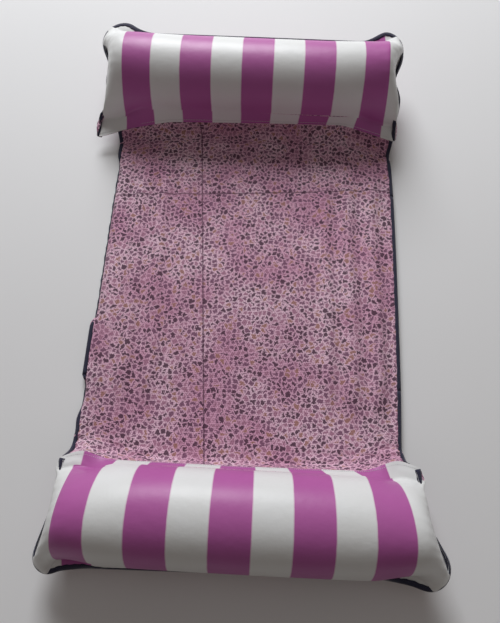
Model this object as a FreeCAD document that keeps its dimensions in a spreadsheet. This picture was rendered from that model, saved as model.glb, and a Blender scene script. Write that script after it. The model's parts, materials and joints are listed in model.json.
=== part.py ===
import FreeCAD, Part
import Sketcher
import math
import os
import re
from FreeCAD import Placement, Rotation, Vector

# Water hammock pool float: a net panel between two inflated bolster pillows.
# Millimetres. X runs across the float, Y runs towards the head pillow, Z is up and the
# floor is Z = 0. The origin is under the middle of the net panel. Sheets are drawn
# thicker than the real ones, so that each stays a sound solid.

SIZES = {
    # pillows
    "pillow_offset": 468,        # middle of the float to each pillow's axis, along Y
    "tube_radius": 82,           # outside of the inflated PVC
    "tube_half_length": 326,     # middle to the end of the inflated tube
    "tube_end_round": 60,        # rounding of the tube's ends
    "pvc_thickness": 1,
    "weld_flange": 14,           # flat welded edge outside the tube, long sides
    "flange_inner_half": 330,    # half length of the flange on the panel's side
    "flange_outer_half": 352,    # half length of the flange on the outer side
    "corner_round": 22,
    # net and tape
    "net_thickness": 1,
    "net_gap": 0.4,              # clearance between the net and the PVC
    "panel_half_width": 322,
    "tape_thickness": 0.8,
    "tape_width": 11,            # how far the binding laps over the edge
    "centre_gap": 1.8,           # panel edge to the centre fold's axis
    "pillow_gap": 2.4,           # net and tape edges to each pillow fold's axis
    "flange_gap": 2.6,           # PVC flange edge to the same axis
    # the rise from the floor to the pillow's flange
    "rise_low_radius": 35,
    "rise_top_radius": 20,
    "rise_slope": 65,            # degrees from the floor
    "rise_top_run": 4,
    # thread
    "thread_width": 0.8,
    "thread_height": 0.4,
    "thread_inset": 8,           # thread row to the tape's outer edge
    # valve, measured along its own axis from the tube's surface
    "valve_offset": 200,         # from the middle of the pillow, along X
    "valve_dip": 30,             # degrees below the flange plane
    "patch_radius": 16,
    "patch_thickness": 0.8,
    "collar_radius": 8,
    "collar_depth": 6,
    "stem_radius": 6,
    "stem_depth": 17,
    "bore_radius": 3.6,
    "rim_radius": 8.5,
    "rim_thickness": 1.2,
    "plug_radius": 3.2,
    "plug_depth": 6,
    "cap_radius": 7,
    "cap_thickness": 1.6,
    "pull_tab_length": 9,
    "pull_tab_width": 6,
    "flap_radius": 4.6,
    "flap_thickness": 0.8,
    "flap_tab_width": 4,
    "flap_tab_reach": 5.8,
    "strap_width": 4,
    "strap_thickness": 0.8,
    "strap_reach": 14,
    "clearance": 0.4,            # between the valve's moving pieces
    "access_radius": 18.5,       # opening in the net over the valve
    "access_tape": 5.5,
    # label
    "label_near": 336,           # middle of the pillow to the label's near edge
    "label_width": 20,
    "label_reach": 9,
    "label_thickness": 0.4,
    "label_offset": 60,
}
BIG = 2000                       # side of the boxes that halve or trim a shape

doc = FreeCAD.newDocument("pool_float")
sheet = doc.addObject("Spreadsheet::Sheet", "sizes")
for row, (alias, value) in enumerate(SIZES.items(), 1):
    sheet.set(f"A{row}", alias)
    sheet.set(f"B{row}", str(value))
    sheet.setAlias(f"B{row}", alias)
doc.recompute()

# Heights in a pillow's own frame, whose origin is on the tube's axis
NET_TOP = "-(pvc_thickness + net_gap)"
NET_LOW = "-(pvc_thickness + net_gap + net_thickness)"
TAPE_LOW = "-(pvc_thickness + net_gap + net_thickness + tape_thickness)"
TAPE_TOP = "(pvc_thickness + tape_thickness)"
# How far the flange reaches from the tube's axis, along Y
FLANGE_EDGE = "(tube_radius + weld_flange)"
NET_EDGE = "(tube_radius + weld_flange - pillow_gap)"
# Heights in the float's own frame
AXIS_HEIGHT = "tube_radius + net_gap + net_thickness"
PANEL_LEVEL = "tape_thickness + net_thickness / 2"
SEWN_LEVEL = "tube_radius - pvc_thickness - net_thickness / 2"
# Where a panel half ends, from the middle of the float
PANEL_END = "(pillow_offset - tube_radius - weld_flange - pillow_gap)"

ALONG_X = Rotation(Vector(0, 1, 0), 90)     # turns a cylinder's axis from Z to X
made = {}                                   # the sub-parts, by node name

probe = doc.addObject("App::FeaturePython", "probe")
probe.addProperty("App::PropertyFloat", "number")


# ---------------------------------------------------------------- formulas


def formula(text):
    """The text with each name of the sheet written the way an expression reads it."""
    return re.sub(r"[a-z_]+", lambda m: "sizes." + m[0] if m[0] in SIZES else m[0], text)


def bind(obj, **formulas):
    """Binds properties, or placement parts written as at_x, at_y and at_z, to formulas."""
    for name, text in formulas.items():
        path = "Placement.Base." + name[3:] if name.startswith("at_") else name
        obj.setExpression(path, formula(text))


def number(text):
    """What a formula comes to, for a placement that is turned as well as moved."""
    probe.setExpression("number", formula(text))
    probe.recompute()
    return probe.number


# ---------------------------------------------------------------- building blocks


def new_sketch(body, name, role, offset="0"):
    """A sketch on one of the body's origin planes, moved off it along its normal."""
    sketch = body.newObject("Sketcher::SketchObject", name)
    plane = next(o for o in body.Origin.OriginFeatures if o.Role == role)
    sketch.AttachmentSupport = [(plane, "")]
    sketch.MapMode = "FlatFace"
    sketch.setExpression("AttachmentOffset.Base.z", formula(offset))
    return sketch


def constrain(sketch, kind, *where, to=None):
    """One constraint, bound to a formula when it has one."""
    if to is None:
        sketch.addConstraint(Sketcher.Constraint(kind, *where))
        return
    index = sketch.addConstraint(Sketcher.Constraint(kind, *where, number(to)))
    sketch.setExpression(f"Constraints[{index}]", formula(to))


def closed_outline(sketch, corners):
    """Straight lines through corners given as formulas; returns the lines' numbers."""
    points = [Vector(number(x), number(y), 0) for x, y in corners]
    lines = [
        sketch.addGeometry(Part.LineSegment(a, b), False)
        for a, b in zip(points, points[1:] + points[:1])
    ]
    for a, b in zip(lines, lines[1:] + lines[:1]):
        constrain(sketch, "Coincident", a, 2, b, 1)
    return lines


def rectangle(sketch, left, right, low, high):
    """A rectangle between four formulas, along the sketch's own axes."""
    corners = [(left, low), (right, low), (right, high), (left, high)]
    bottom, side, top, other = closed_outline(sketch, corners)
    for line in (bottom, top):
        constrain(sketch, "Horizontal", line)
    for line in (side, other):
        constrain(sketch, "Vertical", line)
    for line, end, kind, to in (
        (bottom, 1, "DistanceX", left),
        (bottom, 1, "DistanceY", low),
        (side, 2, "DistanceX", right),
        (side, 2, "DistanceY", high),
    ):
        constrain(sketch, kind, -1, 1, line, end, to=to)


def flange_plate(name, low, high, side="0", inner=FLANGE_EDGE, outer=FLANGE_EDGE):
    """A flat plate with the flange's outline, which is shorter on the panel's side.

    low and high are its heights in the pillow's frame, side lengthens its ends, and
    inner and outer are how far it reaches from the tube's axis either way.
    """
    body = doc.addObject("PartDesign::Body", name)
    sketch = new_sketch(body, name + "_outline", "XY_Plane", low)
    inner_half = f"flange_inner_half + {side}"
    outer_half = f"flange_outer_half + {side}"
    corners = [
        (f"-({inner_half})", f"-{inner}"),
        (inner_half, f"-{inner}"),
        (outer_half, outer),
        (f"-({outer_half})", outer),
    ]
    bottom, _, top, _ = closed_outline(sketch, corners)
    constrain(sketch, "Symmetric", bottom, 1, bottom, 2, -2)
    constrain(sketch, "Symmetric", top, 1, top, 2, -2)
    constrain(sketch, "DistanceX", bottom, 1, bottom, 2, to=f"2 * ({inner_half})")
    constrain(sketch, "DistanceX", top, 2, top, 1, to=f"2 * ({outer_half})")
    constrain(sketch, "DistanceY", bottom, 1, -1, 1, to=inner)
    constrain(sketch, "DistanceY", -1, 1, top, 1, to=outer)
    pad = body.newObject("PartDesign::Pad", name + "_pad")
    pad.Profile = sketch
    bind(pad, Length=f"({high}) - ({low})")
    doc.recompute()
    uprights = []
    for i, edge in enumerate(pad.Shape.Edges, 1):
        a, b = (v.Point for v in edge.Vertexes)
        if abs(a.x - b.x) + abs(a.y - b.y) < 0.01 and a.y > 0:
            uprights.append(f"Edge{i}")
    rounding = body.newObject("PartDesign::Fillet", name + "_corners")
    rounding.Base = (pad, uprights)
    bind(rounding, Radius=f"corner_round + {side}")
    return body


def round_tube(name, grow):
    """A solid bolster along X with rounded ends, grown outwards by a formula."""
    body = doc.addObject("PartDesign::Body", name)
    bar = body.newObject("PartDesign::AdditiveCylinder", name + "_bar")
    bar.Placement.Rotation = ALONG_X
    bind(
        bar,
        Radius=f"tube_radius + {grow}",
        Height=f"2 * (tube_half_length + {grow})",
        at_x=f"-(tube_half_length + {grow})",
    )
    doc.recompute()
    rims = [
        f"Edge{i}"
        for i, edge in enumerate(bar.Shape.Edges, 1)
        if isinstance(edge.Curve, Part.Circle)
    ]
    ends = body.newObject("PartDesign::Fillet", name + "_ends")
    ends.Base = (bar, rims)
    bind(ends, Radius=f"tube_end_round + {grow}")
    return body


def half_space(name, level, above):
    """A big box whose lower face, or upper face if not above, is at a level."""
    block = doc.addObject("Part::Box", name)
    block.Length = block.Width = block.Height = BIG
    block.Placement.Base = Vector(-BIG / 2, -BIG / 2, 0)
    bind(block, at_z=level if above else f"({level}) - {BIG}")
    return block


def box(name, low, high):
    """A box between two corners whose coordinates are formulas."""
    block = doc.addObject("Part::Box", name)
    sides = {
        side: f"({b}) - ({a})" for side, a, b in zip(("Length", "Width", "Height"), low, high)
    }
    bind(block, at_x=low[0], at_y=low[1], at_z=low[2], **sides)
    return block


def disc(name, radius, low, high, frame=None):
    """A cylinder between two heights, along Z or along a turned frame's Z."""
    cylinder = doc.addObject("Part::Cylinder", name)
    bind(cylinder, Radius=radius, Height=f"({high}) - ({low})")
    if frame is None:
        bind(cylinder, at_z=low)
    else:
        cylinder.Placement = frame * Placement(Vector(0, 0, number(low)), Rotation())
    return cylinder


def sleeve(name, inner, outer):
    """A thin round sleeve along X, as long as the pillow, between two radii."""
    walls = []
    for part, radius in (("outside", outer), ("inside", inner)):
        wall = doc.addObject("Part::Cylinder", f"{name}_{part}")
        wall.Placement.Rotation = ALONG_X
        bind(wall, Radius=radius, Height="2 * tube_half_length", at_x="-tube_half_length")
        walls.append(wall)
    return cut(name, *walls)


def fuse(name, *shapes):
    joined = doc.addObject("Part::MultiFuse", name)
    joined.Shapes = list(shapes)
    return joined


def common(name, *shapes):
    shared = doc.addObject("Part::MultiCommon", name)
    shared.Shapes = list(shapes)
    return shared


def cut(name, base, *tools):
    """base with each tool taken out of it in turn."""
    for i, tool in enumerate(tools, 1):
        step = doc.addObject("Part::Cut", name if i == len(tools) else f"{name}_{i}")
        step.Base = base
        step.Tool = tool
        base = step
    return base


def node(name, placement, *shapes):
    """A sub-part: one solid, or a group of like ones, put in its place in the float."""
    part = doc.addObject("Part::Compound", name)
    part.Label = name
    part.Links = list(shapes)
    part.Placement = placement
    made[name] = part


# ---------------------------------------------------------------- pillows
# Built once in a pillow's own frame: origin on the tube's axis, +Y away from the panel.


def valve_frame():
    """Where a valve stands on the tube: Z along the valve's axis, out of the pillow."""
    dip = number("valve_dip")
    turn = Rotation(Vector(1, 0, 0), -(90 + dip))
    outward = turn.multVec(Vector(0, 0, 1))
    return Placement(Vector(-number("valve_offset"), 0, 0) + outward * number("tube_radius"), turn)


VALVE = valve_frame()
THROUGH = "3 * collar_depth"                # long enough to pass through every skin


def pvc_sheets():
    """The two striped sheets, each half a bolster with its half of the welded flange."""
    tube = round_tube("tube", "0")
    cavity = round_tube("cavity", "(-pvc_thickness)")
    inner = "(tube_radius + weld_flange - flange_gap)"
    top_plate = flange_plate("top_flange", "0", "pvc_thickness", inner=inner)
    low_plate = flange_plate("low_flange", "-pvc_thickness", "0", inner=inner)
    hole = disc("valve_hole", "collar_radius + 0.05", f"-{THROUGH}", THROUGH, VALVE)
    upper = common("upper_half", fuse("upper_blank", tube, top_plate), half_space("up", "0", True))
    lower = common("lower_half", fuse("lower_blank", tube, low_plate), half_space("down", "0", False))
    return cut("upper_sheet", upper, cavity), cut("lower_sheet", lower, cavity, hole)


def net_cradle():
    """The net under a pillow: it follows the lower half and runs out under the flange."""
    outside = round_tube("net_outside", "(net_gap + net_thickness)")
    inside = round_tube("net_inside", "net_gap")
    plate = flange_plate("net_plate", NET_LOW, NET_TOP, inner=NET_EDGE)
    lower = common(
        "cradle_half", fuse("cradle_blank", outside, plate), half_space("under", NET_TOP, False)
    )
    hole = disc("access_hole", "access_radius", f"-{THROUGH}", THROUGH, VALVE)
    return cut("cradle", lower, inside, hole)


def end_binding():
    """Tape lapped over the flange round a pillow's two ends and outer side."""
    outer = f"({FLANGE_EDGE} + tape_thickness)"
    rim = flange_plate("tape_rim", TAPE_LOW, TAPE_TOP, "tape_thickness", NET_EDGE, outer)
    window = flange_plate(
        "tape_window",
        f"{TAPE_LOW} - 1",
        f"{TAPE_TOP} + 1",
        "(-tape_width)",
        inner=f"({FLANGE_EDGE} + 1)",
        outer=f"({FLANGE_EDGE} - tape_width)",
    )
    slot = flange_plate("tape_slot", NET_LOW, "pvc_thickness", inner=f"({FLANGE_EDGE} + 1)")
    return cut("end_tape", rim, window, slot)


def end_thread():
    """One row of stitching round the end binding, on top of the tape."""
    window_top = f"{TAPE_TOP} + thread_height"
    row = flange_plate(
        "thread_row",
        TAPE_TOP,
        window_top,
        "(-thread_inset)",
        inner=f"({NET_EDGE} - 1)",
        outer=f"({FLANGE_EDGE} - thread_inset)",
    )
    inside = flange_plate(
        "thread_inside",
        f"{TAPE_TOP} - 1",
        f"{window_top} + 1",
        "(-thread_inset - thread_width)",
        outer=f"({FLANGE_EDGE} - thread_inset - thread_width)",
    )
    return cut("end_thread", row, inside)


def flange_thread():
    """Stitching that holds the flange on the panel's side to the net."""
    reach = "(flange_inner_half - tape_width)"
    row = f"-({FLANGE_EDGE} - thread_inset)"
    low = (f"-{reach}", row, "pvc_thickness")
    high = (reach, f"{row} + thread_width", "pvc_thickness + thread_height")
    return box("flange_thread", low, high)


def label():
    """A blank folded label in the end of the binding."""
    low = (
        "-(label_near + label_reach)",
        "-(label_offset + label_width / 2)",
        "-label_thickness / 2",
    )
    high = ("-label_near", "-(label_offset - label_width / 2)", "label_thickness / 2")
    return box("label_blank", low, high)


# ---------------------------------------------------------------- valve
# In the valve's own frame: Z = 0 on the tube's surface, Z pointing out of the pillow.

RIM_LOW = "patch_thickness + clearance"
RIM_TOP = "patch_thickness + clearance + rim_thickness"
CAP_LOW = "patch_thickness + rim_thickness + 2 * clearance"
CAP_TOP = "patch_thickness + rim_thickness + 2 * clearance + cap_thickness"
BORE_CLEAR = "stem_radius + clearance"


def valve_base():
    """A round patch curved to the tube, with the collar that passes through the PVC."""
    skin = sleeve("patch_skin", "tube_radius", "tube_radius + patch_thickness")
    outline = disc("patch_outline", "patch_radius", f"-{THROUGH}", THROUGH, VALVE)
    collar = disc("collar", "collar_radius", "-collar_depth", "patch_thickness", VALVE)
    bore = disc("collar_bore", BORE_CLEAR, f"-{THROUGH}", THROUGH, VALVE)
    return cut("base_shape", fuse("base_blank", common("patch", skin, outline), collar), bore)


def valve_stem():
    """The tube that is pushed in, with its rim."""
    tube = disc("stem_tube", "stem_radius", "-stem_depth", RIM_TOP, VALVE)
    rim = disc("stem_rim", "rim_radius", RIM_LOW, RIM_TOP, VALVE)
    bore = disc("stem_bore", "bore_radius", f"-{THROUGH}", THROUGH, VALVE)
    return cut("stem_shape", fuse("stem_blank", tube, rim), bore)


def valve_plug():
    """The plug: pin, cap and the tab it is pulled by."""
    pin = disc("plug_pin", "plug_radius", "-plug_depth", CAP_TOP, VALVE)
    cap = disc("plug_cap", "cap_radius", CAP_LOW, CAP_TOP, VALVE)
    tab = box(
        "plug_tab",
        ("0", "-pull_tab_width / 2", CAP_LOW),
        ("cap_radius + pull_tab_length", "pull_tab_width / 2", f"{CAP_LOW} + cap_thickness / 2"),
    )
    return fuse("plug_shape", pin, cap, in_valve_frame(tab))


def valve_flap():
    """The check flap under the stem's inner end, with the tab it bends at."""
    top = "-(stem_depth + clearance)"
    low = f"{top} - flap_thickness"
    lid = disc("flap_disc", "flap_radius", low, top, VALVE)
    tab = box(
        "flap_tab",
        ("-flap_tab_width / 2", "0", low),
        ("flap_tab_width / 2", "flap_tab_reach", top),
    )
    return fuse("flap_shape", lid, in_valve_frame(tab))


def plug_strap():
    """The strap that keeps the plug: out from the rim, round, and back to the cap."""
    half = "strap_width / 2"
    lower_mid = f"{RIM_LOW} + rim_thickness / 2"
    upper_mid = f"{CAP_LOW} + cap_thickness / 2"
    legs = []
    for name, reach, middle in (
        ("strap_lower", "rim_radius", lower_mid),
        ("strap_upper", "cap_radius + clearance", upper_mid),
    ):
        low = ("-strap_reach", f"-{half}", f"{middle} - strap_thickness / 2")
        high = (f"-({reach})", half, f"{middle} + strap_thickness / 2")
        legs.append(in_valve_frame(box(name, low, high)))
    centre = f"({lower_mid} + {upper_mid}) / 2"
    outer = f"({upper_mid} - ({lower_mid}) + strap_thickness) / 2"
    across = Placement(
        Vector(-number("strap_reach"), 0, number(centre)), Rotation(Vector(1, 0, 0), 90)
    )
    bend = cut(
        "strap_bend",
        disc("bend_outside", outer, f"-{half}", half, VALVE * across),
        disc("bend_inside", f"{outer} - strap_thickness", f"-{half} - 1", f"{half} + 1", VALVE * across),
    )
    outward = box("bend_side", ("-strap_reach - 5", "-5", "-5"), ("-strap_reach", "5", "10"))
    return fuse("strap_shape", *legs, common("strap_turn", bend, in_valve_frame(outward)))


def in_valve_frame(shape):
    """Moves a shape from its own frame to the valve's place on the tube."""
    moved = doc.addObject("Part::Compound", shape.Name + "_moved")
    moved.Links = [shape]
    moved.Placement = VALVE
    return moved


def access_ring():
    """Tape round the net's opening over the valve."""
    outside = "(tube_radius + net_gap + net_thickness)"
    skin = sleeve("ring_skin", outside, f"{outside} + tape_thickness")
    outline = disc("ring_outline", "access_radius + access_tape", "0", THROUGH, VALVE)
    hole = disc("ring_hole", "access_radius", f"-{THROUGH}", THROUGH, VALVE)
    return cut("ring_shape", common("ring_blank", skin, outline), hole)


# ---------------------------------------------------------------- net panel
# One half in its own frame: +Y runs from the centre fold to the pillow.


def rise_path(body, name):
    """The line a panel half follows: along the floor, then up to the pillow's flange."""
    path = new_sketch(body, name + "_path", "YZ_Plane")
    slope = math.radians(number("rise_slope"))
    low_radius, top_radius = number("rise_low_radius"), number("rise_top_radius")
    floor, top = number(PANEL_LEVEL), number(SEWN_LEVEL)
    start, end = number("centre_gap"), number(PANEL_END)
    bend_end = end - number("rise_top_run")
    top_bend = Vector(bend_end, top - top_radius, 0)
    high = top_bend + top_radius * Vector(-math.sin(slope), math.cos(slope), 0)
    low_height = floor + low_radius * (1 - math.cos(slope))
    low = Vector(high.x - (high.y - low_height) / math.tan(slope), low_height, 0)
    low_bend = Vector(low.x - low_radius * math.sin(slope), floor + low_radius, 0)
    quarter = math.pi / 2
    flat, low_arc, rise, top_arc, run = (
        path.addGeometry(piece, False)
        for piece in (
            Part.LineSegment(Vector(start, floor, 0), Vector(low_bend.x, floor, 0)),
            Part.ArcOfCircle(
                Part.Circle(low_bend, Vector(0, 0, 1), low_radius), -quarter, slope - quarter
            ),
            Part.LineSegment(low, high),
            Part.ArcOfCircle(
                Part.Circle(top_bend, Vector(0, 0, 1), top_radius), quarter, quarter + slope
            ),
            Part.LineSegment(Vector(bend_end, top, 0), Vector(end, top, 0)),
        )
    )
    constrain(path, "Tangent", flat, 2, low_arc, 1)
    constrain(path, "Tangent", low_arc, 2, rise, 1)
    constrain(path, "Tangent", rise, 2, top_arc, 2)
    constrain(path, "Tangent", top_arc, 1, run, 1)
    constrain(path, "Horizontal", flat)
    constrain(path, "Horizontal", run)
    constrain(path, "DistanceX", -1, 1, flat, 1, to="centre_gap")
    constrain(path, "DistanceY", -1, 1, flat, 1, to=PANEL_LEVEL)
    constrain(path, "DistanceX", -1, 1, run, 2, to=PANEL_END)
    constrain(path, "DistanceY", -1, 1, run, 2, to=SEWN_LEVEL)
    constrain(path, "DistanceX", run, 1, run, 2, to="rise_top_run")
    constrain(path, "Radius", low_arc, to="rise_low_radius")
    constrain(path, "Radius", top_arc, to="rise_top_radius")
    angle = path.addConstraint(Sketcher.Constraint("Angle", rise, slope))
    path.setExpression(f"Constraints[{angle}]", formula("rise_slope * 1 deg"))
    return path


def strip(name, left, right, low, high):
    """A strip of the panel half between two places along X.

    low and high are its faces, from the middle of the net's thickness.
    """
    body = doc.addObject("PartDesign::Body", name)
    path = rise_path(body, name)
    face = new_sketch(body, name + "_face", "XZ_Plane", "-centre_gap")
    rectangle(face, left, right, f"{PANEL_LEVEL} + ({low})", f"{PANEL_LEVEL} + ({high})")
    sweep = body.newObject("PartDesign::AdditivePipe", name + "_sweep")
    sweep.Profile = face
    sweep.Spine = path
    return body


def panel_half():
    """The net of one half, its two side tapes and their stitching."""
    net = strip("net", "-panel_half_width", "panel_half_width", "-net_thickness / 2", "net_thickness / 2")
    face = "(net_thickness / 2 + tape_thickness)"
    thread_near = "(panel_half_width + tape_thickness - thread_inset)"
    tape_near = "(panel_half_width - tape_width)"
    tape_far = "(panel_half_width + tape_thickness)"
    tapes = []
    rows = []
    for side, sign in (("minus", "-"), ("plus", "")):
        tape_edges = sorted((sign + tape_near, sign + tape_far), key=number)
        row_edges = sorted((sign + thread_near, f"{sign}({thread_near} + thread_width)"), key=number)
        blank = strip(f"tape_{side}", *tape_edges, f"-{face}", face)
        tapes.append(cut(f"side_tape_{side}", blank, net))
        rows.append(strip(f"thread_{side}", *row_edges, face, f"{face} + thread_height"))
    return net, tapes, rows


# ---------------------------------------------------------------- the float

upper_sheet, lower_sheet = pvc_sheets()
pillow_parts = {
    "top_sheet": upper_sheet,
    "bottom_sheet": lower_sheet,
    "net_cradle": net_cradle(),
    "end_binding": end_binding(),
    "end_stitching": end_thread(),
    "flange_stitching": flange_thread(),
    "valve_base": valve_base(),
    "valve_stem": valve_stem(),
    "valve_flap": valve_flap(),
    "valve_plug": valve_plug(),
    "plug_strap": plug_strap(),
    "net_opening_tape": access_ring(),
}
net, (tape_minus, tape_plus), threads = panel_half()
label_blank = label()

offset = number("pillow_offset")
height = number(AXIS_HEIGHT)
for end, sign, turn in (("head", 1, 0), ("foot", -1, 180)):
    rotation = Rotation(Vector(0, 0, 1), turn)
    in_pillow = Placement(Vector(0, sign * offset, height), rotation)
    in_panel = Placement(Vector(0, 0, 0), rotation)
    for name, shape in pillow_parts.items():
        node(f"{end}_{name}", in_pillow, shape)
    left, right = (tape_minus, tape_plus) if end == "head" else (tape_plus, tape_minus)
    node(f"{end}_net_panel", in_panel, net)
    node(f"{end}_side_binding_left", in_panel, left)
    node(f"{end}_side_binding_right", in_panel, right)
    node(f"{end}_side_stitching", in_panel, *threads)
node("care_label", Placement(Vector(0, offset, height), Rotation()), label_blank)

doc.recompute()

# ---------------------------------------------------------------- checks and files

for obj in doc.Objects:
    bad = [state for state in obj.State if state in ("Invalid", "Error")]
    if bad:
        raise RuntimeError(f"{obj.Label} failed: {bad}")
for name, part in made.items():
    shape = part.Shape
    if shape.isNull() or not shape.isValid() or shape.Volume <= 0:
        raise RuntimeError(f"{name} has no sound solid")

os.makedirs("parts", exist_ok=True)
for name, part in made.items():
    part.Shape.exportStep(f"parts/{name}.step")
    print(f"{name}: {len(part.Shape.Solids)} solids, {part.Shape.Volume:.0f} mm3")
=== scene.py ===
import json
import math

import bpy
import numpy as np
from mathutils import Matrix, Vector


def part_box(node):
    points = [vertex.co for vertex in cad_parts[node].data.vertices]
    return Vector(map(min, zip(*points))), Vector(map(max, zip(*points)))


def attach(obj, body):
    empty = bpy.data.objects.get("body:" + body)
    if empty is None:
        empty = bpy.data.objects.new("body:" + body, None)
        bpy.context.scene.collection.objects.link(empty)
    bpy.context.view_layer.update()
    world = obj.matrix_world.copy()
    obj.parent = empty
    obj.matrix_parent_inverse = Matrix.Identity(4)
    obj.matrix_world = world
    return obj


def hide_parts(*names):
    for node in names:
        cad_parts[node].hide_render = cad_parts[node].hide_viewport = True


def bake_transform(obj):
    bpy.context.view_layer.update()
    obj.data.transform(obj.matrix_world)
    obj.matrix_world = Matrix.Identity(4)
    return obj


# The looks of a water hammock pool float, in metres, in the frame's own coordinates:
# X across, Y from the foot pillow to the head pillow, Z up, floor at Z = 0.
# The pillows are flat welded bags blown up by simulation, and the net is a flat sheet
# laid between them by simulation. Everything sewn to them is built on the result.

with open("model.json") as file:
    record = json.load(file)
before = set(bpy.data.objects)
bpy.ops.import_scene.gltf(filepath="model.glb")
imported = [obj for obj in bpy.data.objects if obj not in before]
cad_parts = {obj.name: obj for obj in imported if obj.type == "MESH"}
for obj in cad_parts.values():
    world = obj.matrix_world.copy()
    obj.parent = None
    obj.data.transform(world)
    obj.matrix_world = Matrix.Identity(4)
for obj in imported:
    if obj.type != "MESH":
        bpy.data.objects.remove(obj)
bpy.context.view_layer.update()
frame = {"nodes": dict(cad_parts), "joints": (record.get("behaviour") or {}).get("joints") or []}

# ---------------------------------------------------------------- sizes

joints = {joint["name"]: joint for joint in frame["joints"]}
seam = Vector(joints["head_pillow_fold"]["pos_m"])
sheet_low, sheet_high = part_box("head_top_sheet")

FLANGE = 0.014                              # flat weld on a pillow's panel side
AXIS_HEIGHT = sheet_low.z                   # a pillow's axis above the floor
RADIUS = sheet_high.z - sheet_low.z
PILLOW_Y = sheet_high.y - RADIUS - FLANGE   # each pillow's axis from the middle
NET_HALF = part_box("head_net_panel")[1].x

PVC = 0.0008                                # drawn thickness of one sheet
NET = 0.0007
NET_OUT = 0.0012                            # PVC surface to the middle of the net
TAPE = 0.0007
STRIPE = 0.0675                             # stripe pitch on the flat sheet
BAG_GRID = 0.0075
NET_GRID = 0.008
FLANGE_STEP = 0.005
END_TAPE_LAP = 0.0095                       # how far the tape laps over a pillow's edge
SIDE_TAPE_LAP = 0.0105                      # and over the panel's side
STITCH_PITCH = 0.0038
STITCH_SHARE = 0.72                         # thread's place, from the tape's fold to its edge
BAG_FRAMES = 30
NET_FRAMES = 55
ARC_PLACES = 9                              # places along an ear of a pillow



def arc(middle, radius, angles, heights):
    """Places round an arc in plan, in degrees from x towards y, rising or sinking evenly."""
    turns = np.radians(np.linspace(*angles, ARC_PLACES))
    levels = np.linspace(*heights, ARC_PLACES)
    return [
        (middle[0] + radius * math.cos(turn), middle[1] + radius * math.sin(turn), level)
        for turn, level in zip(turns, levels)
    ]


# The blown-up pillows, in each pillow's own frame: x across, y away from the panel, z up.
# The foot pillow's frame is turned half round. The film's free edge is held along a line
# while a pillow fills. outer and inner are the middles of its long sides. Each list in
# ends leads round one end, from the outer side to the panel side: a rounded ear, the end
# below it and the corner beside the net.
PILLOWS = {
    "head": dict(
        turn=1,
        outer=(0.0, 0.098, 0.029),
        inner=(0.0, -0.088, -0.034),
        flange_print=(1.01, 0.0),
        ends=(
            [
                (-0.250, 0.090, 0.034),
                *arc((-0.327, 0.092), 0.045, (25, 215), (0.027, -0.003)),
                (-0.350, 0.040, -0.010),
                (-0.350, -0.025, -0.005),
                (-0.338, -0.050, -0.015),
                (-0.370, -0.132, -0.052),
                (-0.290, -0.110, -0.045),
                (-0.200, -0.095, -0.034),
            ],
            [
                (0.245, 0.104, 0.024),
                *arc((0.293, 0.096), 0.040, (95, 0), (0.024, 0.015)),
                (0.332, 0.065, 0.010),
                (0.310, 0.010, 0.005),
                (0.327, -0.030, 0.0),
                (0.320, -0.090, -0.030),
                (0.325, -0.110, -0.050),
                (0.200, -0.083, -0.034),
            ],
        ),
    ),
    "foot": dict(
        turn=-1,
        outer=(0.0, 0.090, -0.020),
        inner=(0.0, -0.086, -0.031),
        flange_print=(1.03, 0.005),
        ends=(
            [
                (-0.245, 0.083, -0.020),
                *arc((-0.339, 0.063), 0.038, (55, 225), (-0.014, -0.006)),
                (-0.343, -0.010, -0.022),
                (-0.340, -0.100, -0.025),
                (-0.300, -0.114, -0.033),
                (-0.240, -0.090, -0.031),
            ],
            [
                (0.245, 0.095, -0.020),
                *arc((0.315, 0.079), 0.031, (130, 0), (-0.025, -0.028)),
                (0.322, -0.010, -0.026),
                (0.326, -0.085, -0.025),
                (0.288, -0.102, -0.033),
                (0.240, -0.086, -0.031),
            ],
        ),
    ),
}
INNER_WELD = -0.081                         # flat places across a pillow, along its y
TUBE_WIDTH = 0.267
APRON = 0.033                               # flange on the panel side
OUTER_FLANGE = 0.024
END_FLANGE = 0.013
BAG_LENGTH = 0.696                          # between the end welds, along the corners
BAG_SHIFT = -0.018                          # the stripes are printed off the bag's middle
END_BULGE = 0.030                           # how much longer the bag is along its middle
CORNERS = (0.020, 0.060)                    # rounding of the flat bag's corners, panel side first


def smooth(value, low, high):
    """0 below low, 1 above high and a smooth step between."""
    t = np.clip((value - low) / (high - low), 0, 1)
    return t * t * (3 - 2 * t)


def unit(vectors):
    """The vectors, each brought to length one."""
    return vectors / np.maximum(np.linalg.norm(vectors, axis=-1, keepdims=True), 1e-9)


# ---------------------------------------------------------------- mesh helpers


def mesh_object(name, points, faces, material=None, flat=None):
    """A smooth-shaded mesh object, with each point's place on the flat cut if given."""
    mesh = bpy.data.meshes.new(name)
    mesh.from_pydata([tuple(p) for p in np.asarray(points, float)], [], faces)
    mesh.polygons.foreach_set("use_smooth", [True] * len(mesh.polygons))
    if flat is not None:
        places = np.zeros((len(points), 3), np.float32)
        places[:, :2] = flat
        layer = mesh.attributes.new("flat", "FLOAT_VECTOR", "POINT")
        layer.data.foreach_set("vector", places.ravel())
    obj = bpy.data.objects.new(name, mesh)
    bpy.context.scene.collection.objects.link(obj)
    if material:
        mesh.materials.append(material)
    return obj


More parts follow.
